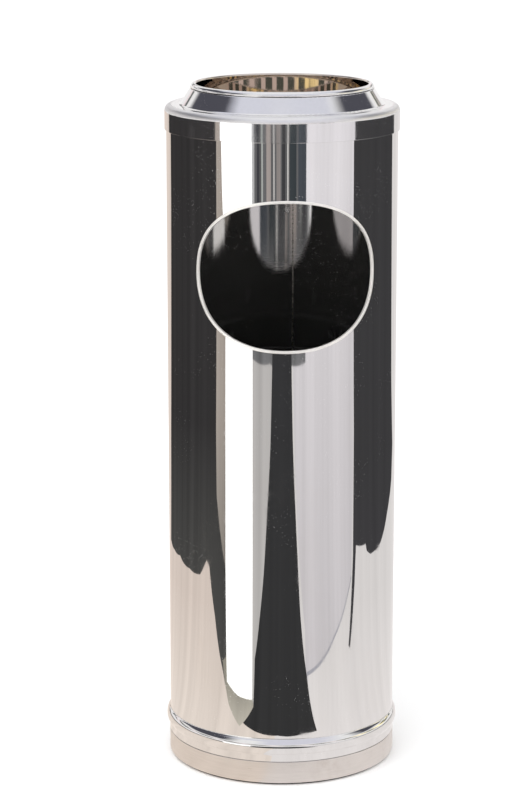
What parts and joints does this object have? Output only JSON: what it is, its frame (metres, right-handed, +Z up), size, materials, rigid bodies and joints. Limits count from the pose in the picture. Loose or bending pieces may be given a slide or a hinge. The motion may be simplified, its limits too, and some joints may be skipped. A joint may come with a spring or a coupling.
{
  "type": "ashtray bin",
  "caption": "Round free-standing ashtray bin: polished tube with a side opening, a lift-off lid carrying a drop-in ash bowl, a weighted base and an inner liner bucket.",
  "frame": {"origin": "centre of the base on the floor", "axes": "+Z up along the tube; the side opening faces -Y; +X to the right when facing the opening"},
  "size_m": [0.2062, 0.2062, 0.602],
  "materials": {
    "foot_ring": "matt black rubber",
    "base_pan": "satin stainless",
    "joining_ring": "mill finish",
    "joining_screws": "zinc plated",
    "joining_washers": "zinc plated",
    "joining_nuts": "zinc plated",
    "ballast_plate": "black painted iron",
    "ballast_bolt": "zinc plated",
    "ballast_washer": "zinc plated",
    "ballast_nut": "zinc plated",
    "body_shell": "mirror-polished stainless",
    "opening_trim": "bright polished edging",
    "back_rivet": "polished rivet",
    "lid_cap": "mirror-polished stainless",
    "ash_bowl": "mirror-polished stainless",
    "liner_bucket": "black enamelled sheet",
    "liner_ears": "zinc plated",
    "liner_ear_rivets": "zinc plated",
    "liner_bail": "zinc-plated wire"
  },
  "bodies": {
    "base": {"foot_ring": "foot_ring", "base_pan": "base_pan", "joining_ring": "joining_ring", "joining_screws": "joining_screws", "joining_washers": "joining_washers", "joining_nuts": "joining_nuts", "ballast_plate": "ballast_plate", "ballast_bolt": "ballast_bolt", "ballast_washer": "ballast_washer", "ballast_nut": "ballast_nut", "body_shell": "body_shell", "opening_trim": "opening_trim", "back_rivet": "back_rivet"},
    "lid": {"lid_cap": "lid_cap"},
    "ash_bowl": {"ash_bowl": "ash_bowl"},
    "liner": {"liner_bucket": "liner_bucket", "liner_ears": "liner_ears", "liner_ear_rivets": "liner_ear_rivets"},
    "bail": {"liner_bail": "liner_bail"}
  },
  "joints": [
    {"name": "lid_lift", "type": "slide", "parent": "base", "child": "lid", "axis": [0, 0, 1], "range_m": [0, 0.1]},
    {"name": "ash_bowl_lift", "type": "slide", "parent": "lid", "child": "ash_bowl", "axis": [0, 0, 1], "range_m": [0, 0.09]},
    {"name": "liner_lift", "type": "slide", "parent": "base", "child": "liner", "axis": [0, 0, 1], "range_m": [0, 0.1]},
    {"name": "bail_swing", "type": "hinge", "parent": "liner", "child": "bail", "pos_m": [0, 0, 0.33], "axis": [1, 0, 0], "range_deg": [0, 220]}
  ]
}
